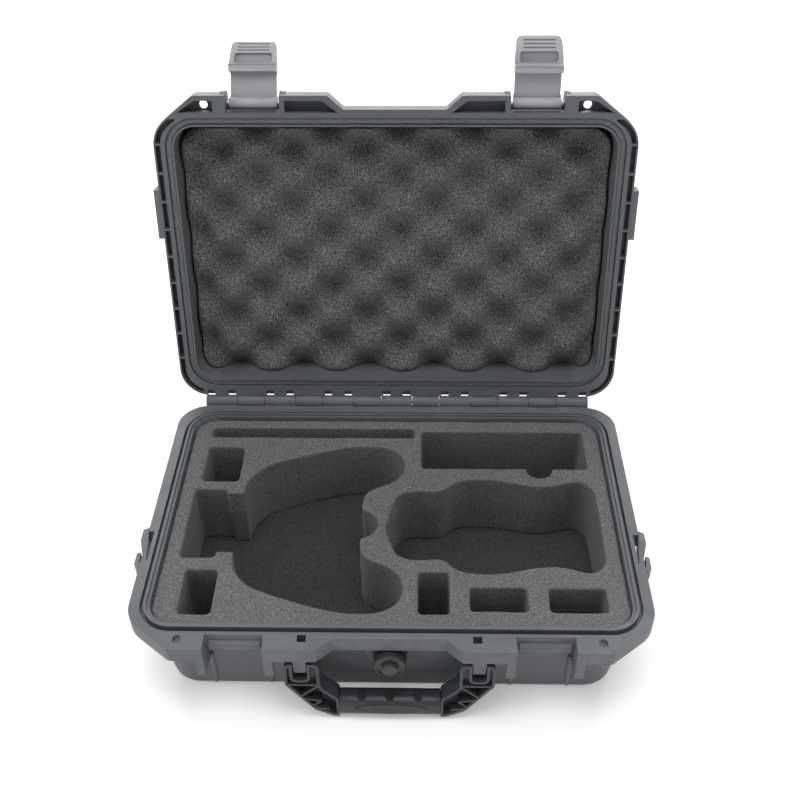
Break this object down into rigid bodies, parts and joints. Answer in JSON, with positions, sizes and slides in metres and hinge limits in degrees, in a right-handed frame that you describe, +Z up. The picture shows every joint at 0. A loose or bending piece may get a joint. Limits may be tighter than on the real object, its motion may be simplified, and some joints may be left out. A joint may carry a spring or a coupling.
{
  "type": "drone carrying case",
  "caption": "Hard-shell carrying case with hinged lid, pull-down latches, folding handle, pressure valve and die-cut foam insert.",
  "frame": {"origin": "centre of the base's flat underside", "axes": "+Z up, +Y from the handle side towards the hinge, +X to the right seen from the handle side"},
  "size_m": [0.389, 0.3706, 0.37],
  "materials": {
    "shell_plastic": "fine matt moulded texture",
    "latch_plastic": "satin moulded",
    "handle_plastic": "satin moulded",
    "grip_rubber": "smooth soft-touch",
    "insert_foam": "cut closed-cell foam with pale specks",
    "lid_foam": "open-cell convoluted foam",
    "seal_foam": "grey sponge cord",
    "valve_plastic": "satin moulded",
    "seal_rubber": "smooth rubber",
    "pin_steel": "drawn rod"
  },
  "bodies": {
    "base": {"base_shell": "shell_plastic", "base_floor": "shell_plastic", "base_foam_block": "insert_foam", "base_foam_pad": "insert_foam", "hinge_pin": "pin_steel", "valve_housing": "valve_plastic", "valve_gasket": "seal_rubber", "handle_pin_left": "pin_steel", "handle_pin_right": "pin_steel"},
    "lid": {"lid_shell": "shell_plastic", "lid_gasket": "seal_foam", "lid_foam": "lid_foam", "latch_pin_left": "pin_steel", "latch_pin_right": "pin_steel"},
    "left_latch": {"latch_left": "latch_plastic"},
    "right_latch": {"latch_right": "latch_plastic"},
    "handle": {"handle_frame": "handle_plastic", "handle_grip": "grip_rubber"},
    "valve_spindle": {"valve_screw": "valve_plastic", "valve_o_ring": "seal_rubber"},
    "valve_wheel": {"valve_knob": "valve_plastic"}
  },
  "joints": [
    {"name": "lid_hinge", "type": "hinge", "parent": "base", "child": "lid", "pos_m": [0, 0.133, 0.0711], "axis": [1, 0, 0], "range_deg": [0, 100.96]},
    {"name": "left_latch_hinge", "type": "hinge", "parent": "lid", "child": "left_latch", "pos_m": [0, 0.19113, 0.32498], "axis": [1, 0, 0], "range_deg": [-8, 112]},
    {"name": "right_latch_hinge", "type": "hinge", "parent": "lid", "child": "right_latch", "pos_m": [0, 0.19113, 0.32498], "axis": [1, 0, 0], "range_deg": [-28, 92]},
    {"name": "handle_hinge", "type": "hinge", "parent": "base", "child": "handle", "pos_m": [0, -0.129, 0.048], "axis": [1, 0, 0], "range_deg": [-87, 13]},
    {"name": "valve_lift", "type": "slide", "parent": "base", "child": "valve_spindle", "axis": [0, -1, 0], "range_m": [0, 0.0015]},
    {"name": "valve_turn", "type": "hinge", "parent": "valve_spindle", "child": "valve_wheel", "pos_m": [0, -0.126, 0.043], "axis": [0, -1, 0], "range_deg": [0, 361]}
  ],
  "couplings": [
    {"joint": "valve_turn", "follows": "valve_lift", "rad_per_m": 4188.8}
  ]
}
